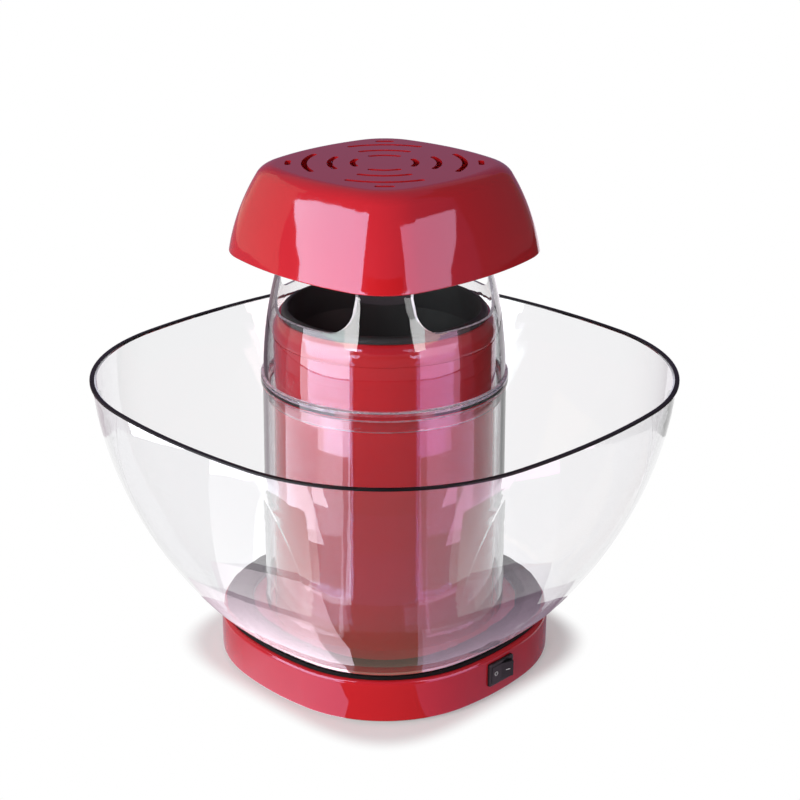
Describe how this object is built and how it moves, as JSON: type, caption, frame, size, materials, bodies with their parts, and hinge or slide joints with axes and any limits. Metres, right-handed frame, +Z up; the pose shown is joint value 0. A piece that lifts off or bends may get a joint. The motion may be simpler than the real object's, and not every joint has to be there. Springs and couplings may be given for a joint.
{
  "type": "popcorn maker",
  "caption": "Hot-air popcorn maker: rounded-square base with a central tower, clear lift-off bowl, clear windowed chimney and vented lift-off lid.",
  "frame": {"origin": "centre of the footprint on the surface that the feet stand on", "axes": "+Z up along the tower; sides along X and Y; the switch is in the -Y face"},
  "size_m": [0.322, 0.322, 0.3093],
  "materials": {
    "red_plastic": "polished moulded plastic",
    "clear_plastic": "clear polished moulded plastic",
    "black_trim": "satin black moulded plastic",
    "black_plastic": "matt black heat-resistant plastic",
    "rubber": "black silicone rubber",
    "steel": "plated steel",
    "aluminium": "spun sheet",
    "brass": "plain",
    "iron": "plain",
    "grey_plastic": "heat-resistant moulded plastic",
    "board": "mica and board sheet"
  },
  "bodies": {
    "base": {"base_housing": "red_plastic", "bottom_cover": "black_plastic", "foot_front_left": "rubber", "foot_front_right": "rubber", "foot_rear_left": "rubber", "foot_rear_right": "rubber", "cover_screws": "steel", "tower_screws": "steel", "housing_screws": "steel", "bowl_seat_ring": "rubber", "switch_bezel": "black_trim", "switch_terminals": "brass", "cord_gland": "black_plastic", "tower_housing": "red_plastic", "fan_housing": "grey_plastic", "motor_can": "steel", "motor_end_cap": "grey_plastic", "motor_bushes": "brass", "motor_magnets": "iron", "motor_screws": "steel", "rectifier_board": "board", "heater_housing": "aluminium", "heater_boards": "board", "heater_coil": "steel", "thermostat": "aluminium", "thermal_fuse": "brass", "popping_chamber": "aluminium", "chamber_seal": "rubber", "funnel_collar": "black_plastic"},
    "fan": {"motor_shaft": "steel", "motor_rotor": "iron", "fan_impeller": "grey_plastic"},
    "rocker": {"switch_rocker": "black_trim"},
    "bowl": {"bowl": "clear_plastic", "bowl_rim_trim": "black_trim"},
    "chimney": {"chimney": "clear_plastic"},
    "lid": {"lid": "red_plastic"}
  },
  "joints": [
    {"name": "fan_spin", "type": "hinge", "parent": "base", "child": "fan", "pos_m": [0, 0, 0.05], "axis": [0, 0, 1], "continuous": true},
    {"name": "rocker_tilt", "type": "hinge", "parent": "base", "child": "rocker", "pos_m": [0, -0.0973, 0.0173], "axis": [0, 0, 1], "range_deg": [0, 19]},
    {"name": "bowl_lift", "type": "slide", "parent": "base", "child": "bowl", "axis": [0, 0, 1], "range_m": [0, 0.2]},
    {"name": "chimney_lift", "type": "slide", "parent": "bowl", "child": "chimney", "axis": [0, 0, 1], "range_m": [0, 0.07]},
    {"name": "lid_lift", "type": "slide", "parent": "chimney", "child": "lid", "axis": [0, 0, 1], "range_m": [0, 0.05]}
  ]
}
